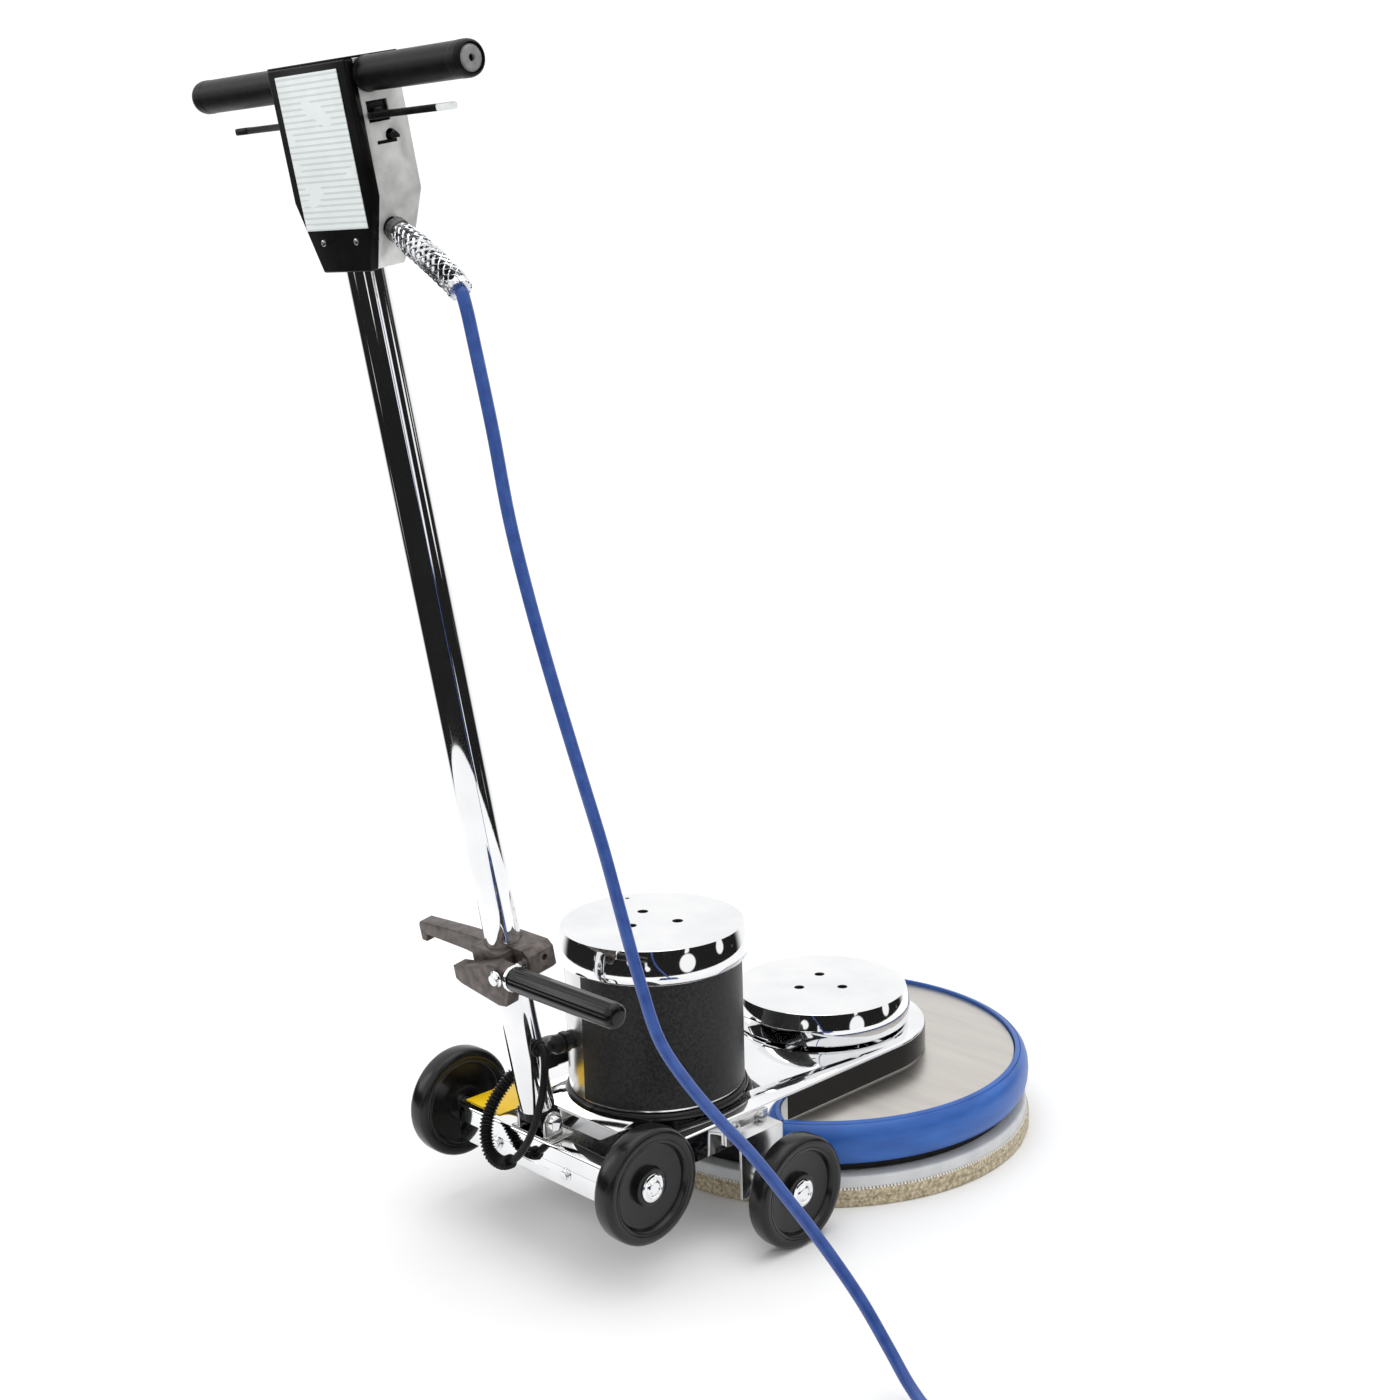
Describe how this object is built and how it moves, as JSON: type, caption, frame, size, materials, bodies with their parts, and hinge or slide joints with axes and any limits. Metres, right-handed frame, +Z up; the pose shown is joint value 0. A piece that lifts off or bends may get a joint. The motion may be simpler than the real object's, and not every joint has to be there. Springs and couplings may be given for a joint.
{
  "type": "rotary floor machine",
  "caption": "Walk-behind high-speed floor burnisher with a round pad under a chromed deck, belt drive, tilting handle, transport wheels and a coiled mains cord.",
  "frame": {"origin": "on the floor, in the middle of the machine's bounding box without its cord and plug", "axes": "+X to the operator's right, +Y forward, towards the pad, +Z up"},
  "size_m": [1.032, 0.976, 1.2315],
  "materials": {
    "chrome": "mirror-bright chrome plate",
    "brushed_steel": "brushed or zinc-plated sheet steel",
    "dark_steel": "dark machined steel",
    "bumper_blue": "satin blue rubber-like moulding",
    "pad_fibre": "tan non-woven fibre pad",
    "grey_plastic": "light grey moulded plastic",
    "black_plastic": "black moulded plastic",
    "black_metal": "satin black coating",
    "black_rubber": "black rubber",
    "wheel_black": "solid black rubber wheel",
    "casting": "bare grey-brown casting",
    "pale_label": "pale blank plate",
    "yellow_plate": "yellow blank plate",
    "wire_mesh": "woven wire sleeve",
    "cord_jacket": "blue flexible cord jacket",
    "plug_rubber": "moulded black plug"
  },
  "bodies": {
    "chassis": {"deck_channel": "chrome", "deck_label": "yellow_plate", "shroud_disc": "brushed_steel", "bumper_ring": "bumper_blue", "spindle_housing": "brushed_steel", "spindle_cap": "chrome", "upper_bearing": "dark_steel", "lower_bearing": "dark_steel", "motor_base_plate": "dark_steel", "motor_shell": "black_metal", "motor_stator": "dark_steel", "motor_cap": "chrome", "drive_belt": "black_rubber", "rear_axle": "chrome", "side_bracket_left": "brushed_steel", "side_bracket_right": "brushed_steel", "side_axle_left": "chrome", "side_axle_right": "chrome", "handle_clevis": "brushed_steel", "pivot_pin": "chrome", "motor_lead": "black_rubber", "lead_fitting": "black_plastic", "mains_cord": "cord_jacket", "cord_coil": "cord_jacket", "plug": "plug_rubber"},
    "rotor_body": {"rotor": "brushed_steel", "cooling_fan": "black_plastic", "motor_pulley": "dark_steel"},
    "spindle_body": {"spindle_shaft": "dark_steel", "spindle_pulley": "dark_steel", "pad_driver": "grey_plastic", "pad_retainer": "black_plastic", "floor_pad": "pad_fibre"},
    "rear_wheel_left_body": {"rear_wheel_left": "wheel_black"},
    "rear_wheel_right_body": {"rear_wheel_right": "wheel_black"},
    "side_wheel_left_body": {"side_wheel_left": "wheel_black"},
    "side_wheel_right_body": {"side_wheel_right": "wheel_black"},
    "handle": {"handle_foot": "black_metal", "handle_tube": "chrome", "lead_grommet": "black_rubber", "clamp_casting": "casting", "lever_bolt": "chrome", "head_housing": "chrome", "head_cover": "black_metal", "head_label": "pale_label", "crossbar": "dark_steel", "grip_left": "black_rubber", "grip_right": "black_rubber", "end_plug_left": "grey_plastic", "end_plug_right": "grey_plastic", "switch_body": "black_plastic", "cord_gland": "dark_steel", "cord_grip": "wire_mesh"},
    "trigger_left_body": {"trigger_left": "black_plastic"},
    "trigger_right_body": {"trigger_right": "black_plastic"},
    "button_body": {"lockout_button": "black_plastic"},
    "lever_body": {"lock_lever": "casting", "lever_sleeve": "black_rubber"}
  },
  "joints": [
    {"name": "handle_tilt", "type": "hinge", "parent": "chassis", "child": "handle", "pos_m": [0, -0.2435, 0.146], "axis": [1, 0, 0], "range_deg": [-6, 42]},
    {"name": "motor_spin", "type": "hinge", "parent": "chassis", "child": "rotor_body", "pos_m": [0, -0.071, 0.2], "axis": [0, 0, 1], "continuous": true},
    {"name": "spindle_spin", "type": "hinge", "parent": "chassis", "child": "spindle_body", "pos_m": [0, 0.204, 0.1], "axis": [0, 0, 1], "continuous": true},
    {"name": "rear_wheel_left_spin", "type": "hinge", "parent": "chassis", "child": "rear_wheel_left_body", "pos_m": [-0.157, -0.233, 0.115], "axis": [1, 0, 0], "continuous": true},
    {"name": "rear_wheel_right_spin", "type": "hinge", "parent": "chassis", "child": "rear_wheel_right_body", "pos_m": [0.157, -0.233, 0.115], "axis": [1, 0, 0], "continuous": true},
    {"name": "side_wheel_left_spin", "type": "hinge", "parent": "chassis", "child": "side_wheel_left_body", "pos_m": [-0.205, -0.061, 0.0625], "axis": [1, 0, 0], "continuous": true},
    {"name": "side_wheel_right_spin", "type": "hinge", "parent": "chassis", "child": "side_wheel_right_body", "pos_m": [0.205, -0.061, 0.0625], "axis": [1, 0, 0], "continuous": true},
    {"name": "trigger_left_squeeze", "type": "hinge", "parent": "handle", "child": "trigger_left_body", "pos_m": [-0.061, -0.41923, 1.17613], "axis": [0, 0.9851, 0.1719], "range_deg": [0, 5], "stiffness_Nm_per_rad": 2, "springref_deg": -2.86},
    {"name": "trigger_right_squeeze", "type": "hinge", "parent": "handle", "child": "trigger_right_body", "pos_m": [0.061, -0.41923, 1.17613], "axis": [0, -0.9851, -0.1719], "range_deg": [0, 5], "stiffness_Nm_per_rad": 2, "springref_deg": -2.86},
    {"name": "lockout_press", "type": "slide", "parent": "handle", "child": "button_body", "axis": [-1, 0, 0], "range_m": [0, 0.004], "stiffness_N_per_m": 600, "springref_m": -0.001},
    {"name": "lock_lever_press", "type": "hinge", "parent": "handle", "child": "lever_body", "pos_m": [0.038, -0.31104, 0.33521], "axis": [0, 0.9851, 0.1719], "range_deg": [0, 18], "stiffness_Nm_per_rad": 4, "springref_deg": -14.32}
  ],
  "couplings": [
    {"joint": "motor_spin", "follows": "spindle_spin", "ratio": 1.1556}
  ]
}
